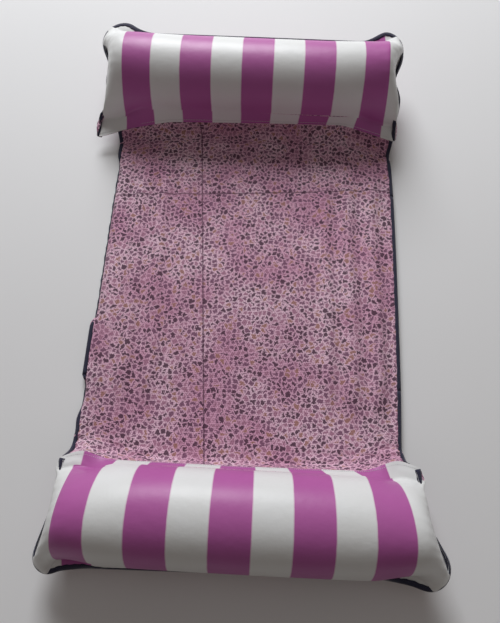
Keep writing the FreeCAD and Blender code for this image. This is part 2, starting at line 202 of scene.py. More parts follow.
def apply_modifiers(obj):
    """Puts what the modifiers make into the mesh."""
    bpy.context.view_layer.update()
    graph = bpy.context.evaluated_depsgraph_get()
    evaluated = obj.evaluated_get(graph)
    mesh = bpy.data.meshes.new_from_object(evaluated, preserve_all_data_layers=True, depsgraph=graph)
    obj.modifiers.clear()
    old = obj.data
    obj.data = mesh
    bpy.data.meshes.remove(old)
    mesh.name = obj.name
    mesh.polygons.foreach_set("use_smooth", [True] * len(mesh.polygons))
    mesh.set_sharp_from_angle(angle=math.radians(55))
    return obj


def thicken(obj, thickness, side):
    """Rounds a sheet off and gives it a thickness; side is 1 outwards, 0 both ways."""
    subdivide = obj.modifiers.new("rounding", "SUBSURF")
    subdivide.levels = subdivide.render_levels = 1
    solid = obj.modifiers.new("thickness", "SOLIDIFY")
    solid.thickness = thickness
    solid.offset = side
    return apply_modifiers(obj)


def grid_faces(index, keep=None, flip=False):
    """Quads of a grid of point numbers, with only the cells that keep allows."""
    faces = []
    for i in range(index.shape[0] - 1):
        for j in range(index.shape[1] - 1):
            if keep is None or keep[i, j]:
                quad = [index[i, j], index[i + 1, j], index[i + 1, j + 1], index[i, j + 1]]
                faces.append([int(k) for k in (quad[::-1] if flip else quad)])
    return faces


def grid_piece(name, points, flat, material, keep=None, flip=False):
    """A mesh on a grid of points, without the points that no kept cell uses."""
    index = np.arange(points.shape[0] * points.shape[1]).reshape(points.shape[:2])
    faces = grid_faces(index, keep, flip)
    used = np.unique(np.array(faces))
    renumber = np.zeros(index.size, int)
    renumber[used] = np.arange(len(used))
    faces = [[int(renumber[k]) for k in face] for face in faces]
    return mesh_object(name, points.reshape(-1, 3)[used], faces, material, flat.reshape(-1, 2)[used])


def grid_normals(points):
    """Unit normals of a grid of points, up where i runs along X and j along Y."""
    along = np.gradient(points, axis=0)
    across = np.gradient(points, axis=1)
    return unit(np.cross(along, across))


def line_up(start, *stretches):
    """Evenly spaced places from start through each stretch's (end, spacing)."""
    places = [start]
    for stop, spacing in stretches:
        count = max(1, round(abs(stop - places[-1]) / spacing))
        places += list(np.linspace(places[-1], stop, count + 1)[1:])
    return np.array(places)


def lengths_along(line):
    """How far along a line of points each one lies."""
    return np.concatenate([[0], np.cumsum(np.linalg.norm(np.diff(line, axis=0), axis=1))])


def resample(line, spacing):
    """Points spaced evenly along a line of points."""
    lengths = lengths_along(line)
    places = np.linspace(0, lengths[-1], max(2, round(lengths[-1] / spacing) + 1))
    return np.stack([np.interp(places, lengths, line[:, k]) for k in range(3)], 1)


def nearest_on(line, points):
    """For each point, the nearest one on a finely divided line."""
    fine = resample(line, 0.0015)
    gaps = np.linalg.norm(points[:, None] - fine[None], axis=2)
    return fine[gaps.argmin(1)]


def relax(line, rounds):
    """Evens out small kinks along a line of points, keeping its two ends."""
    line = line.copy()
    for _ in range(rounds):
        line[1:-1] = (line[:-2] + 2 * line[1:-1] + line[2:]) / 4
    return line


# ---------------------------------------------------------------- cloth simulation


def cloth_values(mass, drag, stiffness, damping, **more):
    """Cloth settings, with stiffness and damping against stretch, squeeze, shear and bend."""
    values = dict(quality=6, mass=mass, air_damping=drag, pin_stiffness=5, **more)
    ways = ("tension", "compression", "shear", "bending")
    for way, stiff, damp in zip(ways, stiffness, damping):
        values[f"{way}_stiffness"] = stiff
        values[f"{way}_damping"] = damp
    return values


def simulate(obj, frames, values, groups, rest):
    """Runs the cloth for some frames and returns where its points end up. rest holds the
    points of the flat cut, which the cloth takes its lengths from."""
    modifier = obj.modifiers.new("Cloth", "CLOTH")
    cloth = modifier.settings
    for name, value in values.items():
        setattr(cloth, name, value)
    for setting, points in groups.items():
        group = obj.vertex_groups.new(name=setting)
        group.add([int(k) for k in points], 1.0, "REPLACE")
        setattr(cloth, setting, setting)
    obj.shape_key_add(name="start")
    key = obj.shape_key_add(name="flat")
    key.data.foreach_set("co", rest.astype(np.float32).ravel())
    cloth.rest_shape_key = key
    modifier.point_cache.frame_end = frames
    for step in range(1, frames + 1):
        bpy.context.scene.frame_set(step)
    evaluated = obj.evaluated_get(bpy.context.evaluated_depsgraph_get())
    points = np.zeros(len(evaluated.data.vertices) * 3)
    evaluated.data.vertices.foreach_get("co", points)
    bpy.data.objects.remove(obj)
    bpy.context.scene.frame_set(1)
    return points.reshape(-1, 3)


# ---------------------------------------------------------------- pillows


class Bag:
    """A pillow: two sheets welded all round, cut flat and then blown up.

    Grid line i runs along x and j along y, in the pillow's own frame. top and bottom
    are the two sheets' points, which are the same on the flange.
    """

    def __init__(self, turn, outer, inner, ends, flange_print):
        self.turn = turn
        self.flange_print = flange_print
        half = BAG_LENGTH / 2
        s = line_up(
            -half - END_FLANGE, (-half, FLANGE_STEP), (half, BAG_GRID), (half + END_FLANGE, FLANGE_STEP)
        )
        outer_weld = INNER_WELD + TUBE_WIDTH
        t = line_up(
            INNER_WELD - APRON,
            (INNER_WELD, FLANGE_STEP),
            (outer_weld, BAG_GRID),
            (outer_weld + OUTER_FLANGE, FLANGE_STEP),
        )
        self.weld_i = [int(abs(s - place).argmin()) for place in (-half, half)]
        self.weld_j = [int(abs(t - place).argmin()) for place in (INNER_WELD, outer_weld)]
        s, t = np.meshgrid(s, t, indexing="ij")
        self.flat = self.cut(s, t)
        self.loop = self.boundary()
        self.blow_up(self.held_edge(outer, inner, ends))
        self.settle()

    @staticmethod
    def cut(s, t):
        """The flat cut: a grid with its corners bent to arcs and its ends bulging."""
        flat = np.stack([s, t], -1)
        across = (t.min() + t.max()) / 2
        for side, radius in zip((-1, 1), CORNERS):
            reach = (s.max() - radius, t.max() - across - radius)
            u = (abs(s) - reach[0]) / radius
            v = (side * (t - across) - reach[1]) / radius
            corner = (u > 0) & (v > 0)
            u, v = u[corner], v[corner]
            new_s = reach[0] + radius * u * np.sqrt(1 - v * v / 2)
            new_t = reach[1] + radius * v * np.sqrt(1 - u * u / 2)
            flat[corner, 0] = np.sign(s[corner]) * new_s
            flat[corner, 1] = across + side * new_t
        middle = INNER_WELD + TUBE_WIDTH / 2
        fullness = np.clip(1 - ((t - middle) / (TUBE_WIDTH / 2)) ** 2, 0, 1)
        flat[..., 0] += np.sign(s) * END_BULGE * fullness * np.clip(abs(s) - 0.24, 0, 1) / (s.max() - 0.24)
        flat[..., 0] += BAG_SHIFT
        return flat

    def boundary(self):
        """Grid places of the free edge, from the outer side's middle by the end above
        zero, the panel side and the other end, back to the start."""
        last_i, last_j = self.flat.shape[0] - 1, self.flat.shape[1] - 1
        middle = last_i // 2
        loop = [(i, last_j) for i in range(middle, last_i)]
        loop += [(last_i, j) for j in range(last_j, 0, -1)]
        loop += [(i, 0) for i in range(last_i, 0, -1)]
        loop += [(0, j) for j in range(last_j)]
        loop += [(i, last_j) for i in range(middle)]
        return tuple(np.array(loop).T)

    def held_edge(self, outer, inner, ends):
        """Where the free edge's points are held, from the named places along it."""
        flat = self.flat[self.loop]
        steps = np.linalg.norm(np.roll(flat, -1, axis=0) - flat, axis=1)
        total = steps.sum()
        places = flat[0, 0] + np.concatenate([[0], np.cumsum(steps[:-1])])
        panel_side = np.nonzero(self.loop[1] == 0)[0]
        inner_place = places[panel_side[abs(flat[panel_side, 0]).argmin()]]
        knots, points = [0, inner_place], [outer, inner]
        for corner, end in zip(places[panel_side[[-1, 0]]], ends):
            gaps = lengths_along([*end, inner])
            farthest = max(range(len(end)), key=lambda k: abs(end[k][0]) - end[k][1])
            marks = (0, gaps[farthest], gaps[-1])
            start = end[0][0] % total
            knots += list(np.interp(gaps[:-1], marks, (start, corner, inner_place)))
            points += end
        points = np.array(points)
        held = [np.interp(places, knots, points[:, k], period=total) for k in range(3)]
        held = np.stack(held, 1)
        for _ in range(4):
            held = (np.roll(held, 1, axis=0) + 2 * held + np.roll(held, -1, axis=0)) / 4
        return held

    def blow_up(self, held):
        """The flat bag under pressure, with its free edge held."""
        shape = self.flat.shape[:2]
        (i0, i1), (j0, j1) = self.weld_i, self.weld_j
        index = np.arange(shape[0] * shape[1]).reshape(shape)
        inside = np.zeros(shape, bool)
        inside[i0 + 1 : i1, j0 + 1 : j1] = True
        other = index.copy()
        other[inside] = index.size + np.arange(inside.sum())
        rest = np.zeros((index.size + int(inside.sum()), 3))
        rest[: index.size, :2] = self.flat.reshape(-1, 2)
        rest[index.size :, :2] = self.flat[inside]
        upper = self.guess()
        shift = np.zeros(upper.shape)
        shift[self.loop] = held - upper[self.loop]
        # the flanges take most of the way to the held edge, except at the corners
        middle = abs(self.flat[:, shape[1] // 2, 0] - BAG_SHIFT)
        passed_on = (0.1 + 0.7 * smooth(middle, 0.22, 0.32))[:, None]
        for j in range(1, j0 + 1):
            shift[:, j] = shift[:, 0] * (1 - (1 - passed_on) * j / j0)
        for j in range(j1, shape[1] - 1):
            share = (shape[1] - 1 - j) / (shape[1] - 1 - j1)
            shift[:, j] = shift[:, -1] * (1 - (1 - passed_on) * share)
        shift[self.loop] = held - upper[self.loop]
        tube = shift[:, j0 : j1 + 1]
        for _ in range(400):
            inner = tube[:-2, 1:-1] + tube[2:, 1:-1] + tube[1:-1, :-2] + tube[1:-1, 2:]
            tube[1:-1, 1:-1] = inner / 4
        lower = (upper * (1, 1, -1) + shift)[inside]
        start = np.concatenate([(upper + shift).reshape(-1, 3), lower])
        cells = np.zeros((shape[0] - 1, shape[1] - 1), bool)
        cells[i0:i1, j0:j1] = True
        faces = grid_faces(index) + grid_faces(other, cells, flip=True)
        bag = mesh_object("bag", start, faces)
        airtight = np.concatenate([index[i0 : i1 + 1, j0 : j1 + 1].ravel(), other[inside]])
        blown = dict(use_pressure=True, uniform_pressure_force=25)
        film = cloth_values(0.3, 2.0, (120, 40, 30, 2), (15, 15, 15, 1), **blown)
        bpy.context.scene.gravity = (0, 0, 0)
        groups = {"vertex_group_mass": index[self.loop], "vertex_group_pressure": airtight}
        points = simulate(bag, BAG_FRAMES, film, groups, rest)
        self.top = points[index]
        self.bottom = points[other]

    def guess(self):
        """About where the upper sheet goes: a round tube with domed ends, pinched flat at
        the end welds. The simulation starts from it."""
        s, t = self.flat[..., 0] - BAG_SHIFT, self.flat[..., 1]
        radius = TUBE_WIDTH / math.pi
        centre = INNER_WELD + radius
        dome_run = 0.95 * radius
        half = BAG_LENGTH / 2 + END_BULGE
        past = np.clip((abs(s) - (half - dome_run)) / dome_run, 0, 1)
        height = np.sqrt(1 - past**2)
        around = np.clip((t - INNER_WELD) / TUBE_WIDTH, 0, 1)
        beyond = t - (around * TUBE_WIDTH + INNER_WELD)
        turn = (around - 0.5) * math.pi
        flare = (TUBE_WIDTH / 2 - radius) * (1 - height)
        reach = radius + np.where(turn < 0, 0.35, 1.0) * flare
        x = s - np.sign(s) * past * dome_run * 0.4 * np.cos(turn) + BAG_SHIFT
        y = centre + reach * np.sin(turn) + beyond
        z = radius * height * np.cos(turn)
        return np.stack([x, y, z], -1)

    def settle(self):
        """Fills the bag out evenly to the frame's height along its straight part."""
        (i0, i1), (j0, j1) = self.weld_i, self.weld_j
        straight = 1 - smooth(abs(self.flat[:, j0, 0] - BAG_SHIFT), 0.20, 0.30)
        for points, height in ((self.top, RADIUS - PVC), (self.bottom, RADIUS - NET_OUT - NET)):
            body = points[i0 : i1 + 1, j0 : j1 + 1]
            for _ in range(6):
                around = body[:-2, 1:-1] + body[2:, 1:-1] + body[1:-1, :-2] + body[1:-1, 2:]
                body[1:-1, 1:-1] = (body[1:-1, 1:-1] + around / 4) / 2
            z = abs(points[..., 2])
            crest = z.max(1)
            lack = (height - crest) * np.maximum(straight, crest > height)
            points[..., 2] += np.sign(points[..., 2]) * lack[:, None] * smooth(z, 0.3 * RADIUS, RADIUS)
        self.top = self.placed(self.top)
        self.bottom = self.placed(self.bottom)

    def placed(self, points):
        """Points of the pillow's own frame, in the row frame."""
        turned = points * (self.turn, self.turn, 1)
        return turned + (0, self.turn * PILLOW_Y, AXIS_HEIGHT)

    def rim(self, inset):
        """The loop of grid points a few lines in from the free edge, panel corner to
        panel corner round the outer side."""
        last = (self.flat.shape[0] - 1 - inset, self.flat.shape[1] - 1 - inset)
        side = [(inset, j) for j in range(inset, last[1])]
        outer = [(i, last[1]) for i in range(inset, last[0])]
        back = [(last[0], j) for j in range(last[1], inset - 1, -1)]
        return np.array([self.top[k] for k in side + outer + back])


bags = {end: Bag(**cut) for end, cut in PILLOWS.items()}


# ---------------------------------------------------------------- materials


class Shader:
    """A node material being put together, with its Principled shader ready."""

    def __init__(self, name, **inputs):
        self.material = bpy.data.materials.new(name)
        self.material.use_nodes = True
        self.tree = self.material.node_tree
        self.shader = self.tree.nodes["Principled BSDF"]
        for socket, value in inputs.items():
            self.shader.inputs[socket.replace("_", " ")].default_value = value

    def put(self, value, socket):
        """Sets a socket to a number or colour, or links it to another socket."""
        if isinstance(value, bpy.types.NodeSocket):
            self.tree.links.new(value, socket)
        else:
            socket.default_value = value

    def node(self, kind, output, settings=None, **inputs):
        """A new node with its settings and inputs, as one of its outputs."""
        made = self.tree.nodes.new("ShaderNode" + kind)
        for name, value in (settings or {}).items():
            setattr(made, name, value)
        for name, value in inputs.items():
            self.put(value, made.inputs[name])
        return made.outputs[output]

    def math(self, operation, *values):
        """One sum on numbers or sockets."""
        made = self.tree.nodes.new("ShaderNodeMath")
        made.operation = operation
        for value, socket in zip(values, made.inputs):
            self.put(value, socket)
        return made.outputs[0]

    def step(self, value, low, high):
        """0 where value is at low, 1 at high and a smooth change between."""
        made = self.tree.nodes.new("ShaderNodeMapRange")
        made.interpolation_type = "SMOOTHSTEP"
        for number, socket in zip((value, low, high), made.inputs):
            self.put(number, socket)
        return made.outputs[0]

    def mix(self, share, first, second):
        """The colour share of the way from first to second."""
        made = self.tree.nodes.new("ShaderNodeMix")
        made.data_type = "RGBA"
        self.put(share, made.inputs["Factor"])
        for value, name in ((first, "A"), (second, "B")):
            self.put(value, next(s for s in made.inputs if s.name == name and s.type == "RGBA"))
        return next(s for s in made.outputs if s.type == "RGBA")

    def flat(self):
        """The two coordinates on the flat cut, and the vector that holds them."""
        places = self.node("Attribute", "Vector", {"attribute_name": "flat"})
        split = self.tree.nodes.new("ShaderNodeSeparateXYZ")
        self.put(places, split.inputs[0])
        return split.outputs[0], split.outputs[1], places

    def noise(self, vector, scale, detail=2.0):
        """Soft random grey."""
        return self.node("TexNoise", "Fac", Vector=vector, Scale=scale, Detail=detail)

    def colour(self, value):
        """Sets the surface's colour."""
        self.put(value, self.shader.inputs["Base Color"])

    def roughness(self, value):
        """Sets the surface's roughness."""
        self.put(value, self.shader.inputs["Roughness"])

    def bump(self, height, distance, strength=1.0):
        """Roughens the surface by a height without moving its points."""
        normal = self.node("Bump", "Normal", Height=height, Distance=distance, Strength=strength)
        self.put(normal, self.shader.inputs["Normal"])


ORCHID = (0.47, 0.120, 0.37, 1)
ORCHID_DEEP = (0.42, 0.100, 0.33, 1)
PEARL = (0.76, 0.77, 0.77, 1)
PEARL_WARM = (0.73, 0.73, 0.71, 1)
PRINT_EDGE = (0.66, 0.47, 0.58, 1)
NAVY = (0.014, 0.014, 0.035, 1)


def striped_pvc():
    """Satin film printed with stripes, puckered towards its two ends."""
    s = Shader("striped_pvc", Roughness=0.4, Specular_IOR_Level=0.32, Coat_Weight=0.04, Coat_Roughness=0.3)
    x, y, places = s.flat()
    wander = s.math("MULTIPLY_ADD", s.noise(places, 45.0), 0.0012, -0.0006)
    across = s.math("ADD", x, wander)
    # past the ninth stripe the sheet stays white
    across = s.math("MINIMUM", s.math("ABSOLUTE", across), 5 * STRIPE)
    phase = s.math("FRACT", s.math("MULTIPLY_ADD", across, 0.5 / STRIPE, 0.25))
    from_middle = s.math("MULTIPLY", s.math("ABSOLUTE", s.math("SUBTRACT", phase, 0.25)), 2 * STRIPE)
    back = s.math("MULTIPLY", s.math("SUBTRACT", 1.25, phase), 2 * STRIPE)
    reach = s.math("MINIMUM", from_middle, back)
    purple = s.step(reach, STRIPE / 2 + 0.0003, STRIPE / 2 - 0.0003)
    edge = s.math("SUBTRACT", s.step(reach, STRIPE / 2 + 0.0017, STRIPE / 2 + 0.0010), purple)
    mottle = s.noise(places, 14.0, 4.0)
    orchid = s.mix(mottle, ORCHID_DEEP, ORCHID)
    pearl = s.mix(mottle, PEARL_WARM, PEARL)
    s.colour(s.mix(edge, s.mix(purple, pearl, orchid), PRINT_EDGE))
    s.roughness(s.math("MULTIPLY_ADD", s.noise(places, 30.0, 3.0), 0.14, 0.36))
    bent = s.mix(0.06, places, s.node("TexNoise", "Color", Vector=places, Scale=9.0))
    pucker = s.node("TexWave", "Fac", {"bands_direction": "Y"}, Vector=bent, Scale=14.0)
    near_end = s.step(s.math("ABSOLUTE", s.math("SUBTRACT", x, BAG_SHIFT)), 0.27, 0.36)
    ripple = s.math("MULTIPLY_ADD", s.math("MULTIPLY", pucker, near_end), 0.9, s.noise(places, 55.0, 3.0))
    grain = s.noise(places, 900.0, 2.0)
    s.bump(s.math("MULTIPLY_ADD", grain, 0.05, ripple), 0.0009, 0.55)
    return s.material


NET_PITCH = 0.0046
PRINT_LINES = (((-0.127, 0.38), (-0.064, -0.37)), ((-0.317, 0.200), (0.318, 0.247)))
CHIPS_PER_METRE = 100.0
THREAD_PINK = (0.72, 0.38, 0.53, 1)
THREAD_PALE = (0.90, 0.62, 0.74, 1)
CHIP_DARK = (0.055, 0.016, 0.040, 1)
CHIP_PLUM = (0.19, 0.075, 0.14, 1)
CHIP_TAN = (0.38, 0.18, 0.14, 1)
CHIP_ROSE = (0.40, 0.18, 0.27, 1)
CHIP_SHARES = ((0.0, CHIP_DARK), (0.34, CHIP_PLUM), (0.66, CHIP_ROSE), (0.88, CHIP_TAN))


def net():
    """Knitted net with a honeycomb of small holes, drawn as dents with painted shade in them,
    printed like crackled mosaic: rounded dark chips with pale pink lines between them."""
    s = Shader("net", Roughness=0.85, Specular_IOR_Level=0.25, Sheen_Weight=0.1)
    x, y, places = s.flat()
    row = NET_PITCH * math.sqrt(3)

    def lattice(shift):
        """Distance from the nearest hole of one of two interleaved lattices."""
        squares = []
        for value, pitch in ((x, NET_PITCH), (y, row)):
            count = s.math("FRACT", s.math("MULTIPLY_ADD", value, 1 / pitch, shift))
            away = s.math("MULTIPLY_ADD", count, pitch, -0.5 * pitch)
            squares.append(s.math("MULTIPLY", away, away))
        return s.math("SQRT", s.math("ADD", *squares))

    hole = s.step(s.math("MINIMUM", lattice(0.0), lattice(0.5)), 0.40 * NET_PITCH, 0.26 * NET_PITCH)
    wander = s.node("TexNoise", "Color", Vector=places, Scale=170.0, Detail=3.0)
    place = s.mix(0.014, places, wander)
    settings = {"voronoi_dimensions": "2D"}
    chip = s.node("TexVoronoi", "Color", settings, Vector=place, Scale=CHIPS_PER_METRE)
    chance = s.node("SeparateColor", "Red", Color=chip)
    settings = {"voronoi_dimensions": "2D", "feature": "DISTANCE_TO_EDGE"}
    rim = s.node("TexVoronoi", "Distance", settings, Vector=place, Scale=CHIPS_PER_METRE)
    inside = s.step(rim, 0.035, 0.24)
    chips = s.tree.nodes.new("ShaderNodeValToRGB")
    chips.color_ramp.interpolation = "CONSTANT"
    ramp = chips.color_ramp.elements
    ramp.remove(ramp[1])
    for share, colour in CHIP_SHARES[1:]:
        ramp.new(share).color = colour
    ramp[0].color = CHIP_SHARES[0][1]
    s.put(chance, chips.inputs[0])
    dyed = s.mix(s.step(s.noise(places, 8.0, 3.0), 0.35, 0.65), THREAD_PINK, THREAD_PALE)
    printed = s.mix(s.math("MULTIPLY", inside, 0.9), dyed, chips.outputs[0])
    # painted shade: the holes are coloured 26 % of the way to CHIP_DARK, standing for the shade in the net's
    # openings
    colour = s.mix(s.math("MULTIPLY", hole, 0.26), printed, CHIP_DARK)
    s.colour(s.mix(grid_lines(s, x, y), colour, CHIP_DARK))
    s.bump(s.math("MULTIPLY", hole, -1.0), 0.0004, 0.6)
    return s.material


def grid_lines(s, x, y):
    """Two thin dark lines of the print, one along the net and one across it."""
    share = None
    for (x0, y0), (x1, y1) in PRINT_LINES:
        length = math.hypot(x1 - x0, y1 - y0)
        across = (-(y1 - y0) / length, (x1 - x0) / length)
        offset = x0 * across[0] + y0 * across[1]
        away = s.math("MULTIPLY_ADD", x, across[0], -offset)
        away = s.math("ABSOLUTE", s.math("MULTIPLY_ADD", y, across[1], away))
        line = s.step(away, 0.0022, 0.0012)
        share = line if share is None else s.math("MAXIMUM", share, line)
    return s.math("MULTIPLY", share, 0.62)


def woven(name, colour, lighter, sheen, scale):
    """Woven tape or satin: fine ribs both ways, a little sheen and uneven dye."""
    s = Shader(name, Roughness=0.7, Specular_IOR_Level=0.3, Sheen_Weight=sheen, Sheen_Roughness=0.4)
    places = s.node("TexCoord", "Object")
    ribs = s.node("TexWave", "Fac", Vector=places, Scale=scale, Distortion=0.6, Detail=1.0)
    settings = {"bands_direction": "Y"}
    cross = s.node("TexWave", "Fac", settings, Vector=places, Scale=scale, Distortion=0.6, Detail=1.0)
    weave = s.math("MAXIMUM", ribs, cross)
    worn = s.noise(places, 60.0, 4.0)
    share = s.math("MULTIPLY", s.math("MULTIPLY", weave, worn), 0.7)
    s.colour(s.mix(share, colour, lighter))
    s.bump(weave, 0.00025, 0.8)
    return s.material


def moulded_plastic():
    """Soft clear-white moulded PVC of the valves."""
    s = Shader("valve_plastic", Roughness=0.32, IOR=1.53, Subsurface_Weight=0.25, Coat_Weight=0.1)
    s.shader.inputs["Subsurface Radius"].default_value = (0.004, 0.004, 0.004)
    places = s.node("TexCoord", "Object")
    cloud = s.noise(places, 120.0, 3.0)
    s.colour(s.mix(cloud, (0.76, 0.77, 0.78, 1), (0.86, 0.87, 0.88, 1)))
    s.roughness(s.math("MULTIPLY_ADD", s.noise(places, 400.0), 0.15, 0.26))
    s.bump(s.noise(places, 700.0), 0.0002, 0.4)
    return s.material


def floor_paint():
    """Plain pale studio floor."""
    s = Shader("floor", Roughness=0.9, Specular_IOR_Level=0.1)
    places = s.node("TexCoord", "Object")
    s.colour(s.mix(s.noise(places, 2.0), (0.80, 0.80, 0.80, 1), (0.83, 0.83, 0.83, 1)))
    return s.material


PVC_FILM = striped_pvc()
NET_CLOTH = net()
NAVY_TAPE = woven("binding_tape", NAVY, (0.05, 0.05, 0.10, 1), 0.35, 300.0)
NAVY_THREAD = woven("thread", (0.03, 0.03, 0.06, 1), (0.09, 0.09, 0.15, 1), 0.2, 900.0)
WHITE_THREAD = woven("white_thread", (0.60, 0.60, 0.60, 1), (0.74, 0.74, 0.73, 1), 0.2, 900.0)
SATIN = woven("label_satin", (0.74, 0.72, 0.69, 1), (0.85, 0.84, 0.82, 1), 0.5, 500.0)
VALVE_PVC = moulded_plastic()


# ---------------------------------------------------------------- valves' seats


def valve_frame(end):
    """The valve's place on the tube and its three directions: across, around and out."""
    turn = PILLOWS[end]["turn"]
    out = Vector(joints[f"{end}_plug_pull"]["axis"]).normalized()
    low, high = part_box(f"{end}_valve_base")
    across = (low.x + high.x) / 2
    point = np.array([across, turn * PILLOW_Y, AXIS_HEIGHT]) + RADIUS * np.array(out)
    sideways = np.array([float(turn), 0, 0])
    around = np.cross(np.array(out), sideways)
    return point, sideways, around, np.array(out)


def seat(points, end, depth):
    """Lays the sheet round the valve on the frame's cylinder, depth under its surface."""
    point, sideways, around, out = valve_frame(end)
    gap = points - point
    a, b = gap @ sideways, gap @ around
    near = 1 - smooth(np.hypot(a, b), 0.028, 0.060)
    near = near * (abs(gap @ out) < RADIUS / 2)
    sag = np.sqrt(np.clip(RADIUS**2 - b**2, 0, None)) - RADIUS - depth
    wanted = point + a[..., None] * sideways + b[..., None] * around + sag[..., None] * out
    return points + near[..., None] * (wanted - points)


for end, bag in bags.items():
    bag.bottom = seat(bag.bottom, end, PVC)
    bag.lower_normals = -grid_normals(bag.bottom)
    bag.upper_normals = grid_normals(bag.top)
    bag.net = bag.bottom + bag.lower_normals * (PVC + NET_OUT - NET / 2)


# ---------------------------------------------------------------- pillow pieces


def sew_on(obj, end, node):
    """Makes a piece ride on its pillow in the place of one of its CAD nodes."""
    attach(obj, f"{end}_pillow")
    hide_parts(f"{end}_{node}")


def pillow_sheets(end):
    """A pillow's striped top and bottom sheets. The print of the bottom one is set off."""
    bag = bags[end]
    upper = np.ones((bag.flat.shape[0] - 1, bag.flat.shape[1] - 1), bool)
    upper[:, : bag.weld_j[0] - 1] = False      # the top sheet stops just past the panel-side weld
    top = grid_piece(f"{end}_pillow_top", bag.top, bag.flat, PVC_FILM, upper)
    thicken(top, PVC, 1)
    widened, moved = bag.flange_print
    low_flat = bag.flat * (widened, 1) + (moved, 0)
    bottom = grid_piece(f"{end}_pillow_bottom", bag.bottom, low_flat, PVC_FILM, flip=True)
    thicken(bottom, PVC, 1)
    for obj, node in ((top, "top_sheet"), (bottom, "bottom_sheet")):
        sew_on(obj, end, node)


def net_cradle(end):
    """The net under a pillow, with its taped opening over the valve."""
    bag = bags[end]
    point, sideways, around, out = valve_frame(end)
    low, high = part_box(f"{end}_valve_base")
    opening = 1.16 * (high.x - low.x) / 2
    gap = bag.net - point
    away = np.hypot(gap @ sideways, gap @ around) + 10 * (abs(gap @ out) > RADIUS / 2)
    inside = away < opening
    corners = inside[:-1, :-1].astype(int) + inside[1:, :-1] + inside[:-1, 1:] + inside[1:, 1:]
    keep = corners < 2
    points = bag.net.copy()
    close = (away < opening + BAG_GRID) & (away > opening - 0.75 * BAG_GRID)
    touched = np.zeros(away.shape, bool)
    for i, j in zip(*np.nonzero(close)):
        cells = keep[max(i - 1, 0) : i + 1, max(j - 1, 0) : j + 1]
        touched[i, j] = cells.any() and not cells.all()
    scale = np.where(touched, opening / np.maximum(away, 1e-6), 1)
    a, b = gap @ sideways, gap @ around
    points += ((scale - 1) * a)[..., None] * sideways + ((scale - 1) * b)[..., None] * around
    cradle = grid_piece(f"{end}_net_cradle_cloth", points, bag.flat, NET_CLOTH, keep, flip=True)
    thicken(cradle, NET, 0)
    sew_on(cradle, end, "net_cradle")
    ring = opening_tape(end, opening)


def opening_tape(end, opening):
    """A flat ring of tape sewn round the opening."""
    point, sideways, around, out = valve_frame(end)
    width, rise = 0.0055, NET_OUT - PVC + NET
    turns = np.linspace(0, 2 * math.pi, 49)[:-1]
    profile = [(0, 0), (width, 0), (width + 0.0003, TAPE / 2), (width, TAPE), (0, TAPE), (-0.0003, TAPE / 2)]
    points = []
    for turn in turns:
        for reach, height in profile:
            away = opening - 0.0008 + reach
            a, b = away * math.cos(turn), away * math.sin(turn)
            sag = math.sqrt(RADIUS**2 - b * b) - RADIUS
            points.append(point + a * sideways + b * around + (sag + rise + height) * out)
    count = len(profile)
    faces = []
    for k in range(len(turns)):
        for m in range(count):
            here, there = k * count, (k + 1) % len(turns) * count
            faces.append([here + m, there + m, there + (m + 1) % count, here + (m + 1) % count])
    ring = mesh_object(f"{end}_opening_tape", points, faces, NAVY_TAPE)
    sew_on(ring, end, "net_opening_tape")
    return ring


def folded_tape(name, edge, lap, above, under):
    """Tape folded over an edge: edge and lap are the lines of the fold and of the tape's
    own edges, above and under the heights of its two faces from them."""
    edge, lap = relax(edge, 2), relax(lap, 2)
    inward = unit(lap - edge)
    along = unit(np.gradient(edge, axis=0))
    up = unit(np.cross(inward, along))
    up *= np.sign(up[:, 2:3].mean()) or 1
    width = np.linalg.norm(lap - edge, axis=1, keepdims=True)
    outline = [
        (1, above),
        (0.5, above + 0.0002),
        (0.04, above),
        (-0.06, 0.45 * (above - under)),
        (0.04, -under),
        (0.5, -under - 0.0002),
        (1, -under),
        (1, -under + TAPE),
        (0.08, -under + TAPE),
        (0.08, above - TAPE),
        (1, above - TAPE),
    ]
    pucker = 1 + 0.06 * np.sin(np.arange(len(edge)) * 1.9) + 0.04 * np.sin(np.arange(len(edge)) * 0.77)
    rings = [edge + inward * width * share * pucker[:, None] + up * height for share, height in outline]
    points = np.stack(rings, 1)
    count = len(outline)
    faces = []
    for k in range(len(edge) - 1):
        for m in range(count):
            here, there = k * count, (k + 1) * count
            faces.append([here + m, here + (m + 1) % count, there + (m + 1) % count, there + m])
    faces.append(list(range(count))[::-1])
    faces.append([(len(edge) - 1) * count + m for m in range(count)])
    tape = mesh_object(name, points.reshape(-1, 3), faces, NAVY_TAPE)
    return tape, edge, inward * width, up


def stitches(name, middles, directions, ups, material):
    """A row of short stitches, each arched a little and tucked in at both ends."""
    length, thick = 0.0026, 0.00042
    rings = [(-0.5, -0.5, 0.5), (-0.25, 0.35, 1.0), (0.25, 0.35, 1.0), (0.5, -0.5, 0.5)]
    sides = 6
    points, faces = [], []
    for middle, direction, up in zip(middles, directions, ups):
        side = np.cross(direction, up)
        base = len(points)
        for along, rise, size in rings:
            centre = middle + direction * along * length + up * rise * thick
            for k in range(sides):
                turn = 2 * math.pi * k / sides
                offset = (side * math.cos(turn) + up * math.sin(turn)) * thick * size
                points.append(centre + offset)
        for r in range(len(rings) - 1):
            for k in range(sides):
                a, b = base + r * sides + k, base + r * sides + (k + 1) % sides
                faces.append([a, b, b + sides, a + sides])
        faces.append([base + k for k in range(sides)][::-1])
        faces.append([base + (len(rings) - 1) * sides + k for k in range(sides)])
    return mesh_object(name, points, faces, material)


